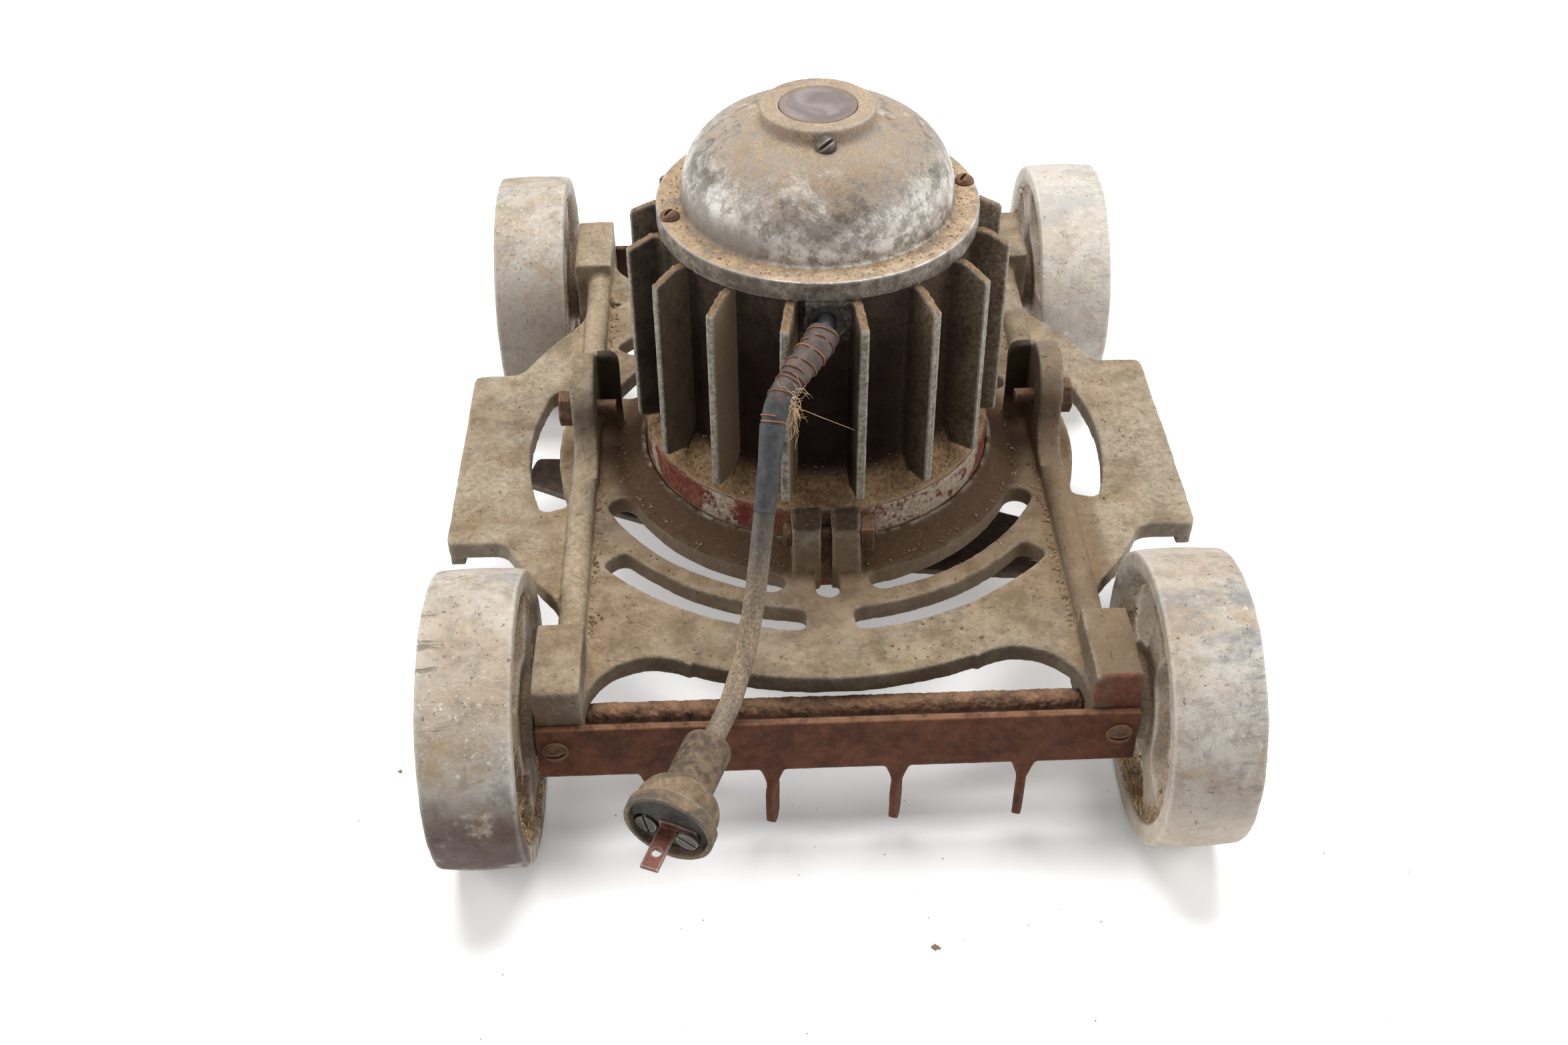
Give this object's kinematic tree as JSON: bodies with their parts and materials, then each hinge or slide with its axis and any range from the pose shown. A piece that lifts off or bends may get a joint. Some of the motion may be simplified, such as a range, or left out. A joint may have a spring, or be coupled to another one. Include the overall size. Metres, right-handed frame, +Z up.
{
  "type": "electric rotary lawn mower",
  "caption": "Low four-wheeled lawn mower: slotted cast deck, upright finned motor with a domed cover, comb bar in front, flat cutter blade below, short rubber cord and plug.",
  "frame": {"origin": "on the ground under the middle of the four wheels", "axes": "+Z up, -Y towards the comb bar at the front, +X to the right seen from the front"},
  "size_m": [0.2952, 0.4173, 0.2218],
  "materials": {
    "cast_alloy": "weathered sand-cast aluminium with baked-on dust",
    "wheel_alloy": "worn cast aluminium tread, pale and speckled",
    "fin_alloy": "cast aluminium, dark and oily between the fins",
    "dome_alloy": "rubbed cast aluminium",
    "red_paint": "old red paint, flaking",
    "rusty_steel": "rusted mild steel",
    "dark_steel": "dull steel",
    "blade_steel": "brown blade steel",
    "copper": "tarnished copper",
    "bronze": "bearing bronze",
    "carbon": "carbon",
    "phenolic": "dark moulded insulation",
    "cord_rubber": "old grey-black rubber",
    "tape": "friction tape bound with thread",
    "plug_rubber": "dusty grey-brown rubber",
    "glass": "dulled window glass",
    "gasket": "perished rubber"
  },
  "bodies": {
    "carriage": {"deck_casting": "cast_alloy", "comb_bar": "rusty_steel", "comb_screws": "rusty_steel", "rear_bar": "rusty_steel", "rear_screws": "rusty_steel", "front_axle": "rusty_steel", "rear_axle": "rusty_steel", "axle_washers": "rusty_steel", "cotter_pins": "rusty_steel", "handle_bolts": "rusty_steel", "clamp_bolt": "rusty_steel", "clamp_nut": "rusty_steel"},
    "motor": {"motor_housing": "fin_alloy", "base_ring": "red_paint", "base_screws": "dark_steel", "lower_bracket": "cast_alloy", "lower_bush": "bronze", "upper_bracket": "cast_alloy", "upper_bush": "bronze", "stator_core": "dark_steel", "field_coils": "copper", "brush_holders": "phenolic", "brushes": "carbon", "brush_caps": "bronze", "dome_cover": "dome_alloy", "cover_screws": "rusty_steel", "window_gasket": "gasket", "sight_glass": "glass", "dome_screw": "dark_steel", "gland_bush": "gasket", "cord": "cord_rubber", "cord_tape": "tape", "plug_body": "plug_rubber", "plug_face": "phenolic", "plug_blade": "copper", "plug_screws": "dark_steel"},
    "rotor": {"shaft": "dark_steel", "armature_core": "dark_steel", "armature_windings": "copper", "commutator": "copper", "cutter_hub": "dark_steel", "cutter_blade": "blade_steel", "blade_nut": "rusty_steel"},
    "wheel_front_left": {"wheel_front_left": "wheel_alloy"},
    "wheel_front_right": {"wheel_front_right": "wheel_alloy"},
    "wheel_rear_left": {"wheel_rear_left": "wheel_alloy"},
    "wheel_rear_right": {"wheel_rear_right": "wheel_alloy"}
  },
  "joints": [
    {"name": "motor_height", "type": "slide", "parent": "carriage", "child": "motor", "axis": [0, 0, 1], "range_m": [0, 0.012]},
    {"name": "rotor_spin", "type": "hinge", "parent": "motor", "child": "rotor", "pos_m": [0, -0.002, 0.1], "axis": [0, 0, 1], "continuous": true},
    {"name": "wheel_front_left_spin", "type": "hinge", "parent": "carriage", "child": "wheel_front_left", "pos_m": [-0.126, -0.141, 0.054], "axis": [1, 0, 0], "continuous": true},
    {"name": "wheel_front_right_spin", "type": "hinge", "parent": "carriage", "child": "wheel_front_right", "pos_m": [0.126, -0.141, 0.054], "axis": [1, 0, 0], "continuous": true},
    {"name": "wheel_rear_left_spin", "type": "hinge", "parent": "carriage", "child": "wheel_rear_left", "pos_m": [-0.126, 0.143, 0.054], "axis": [1, 0, 0], "continuous": true},
    {"name": "wheel_rear_right_spin", "type": "hinge", "parent": "carriage", "child": "wheel_rear_right", "pos_m": [0.126, 0.143, 0.054], "axis": [1, 0, 0], "continuous": true}
  ]
}
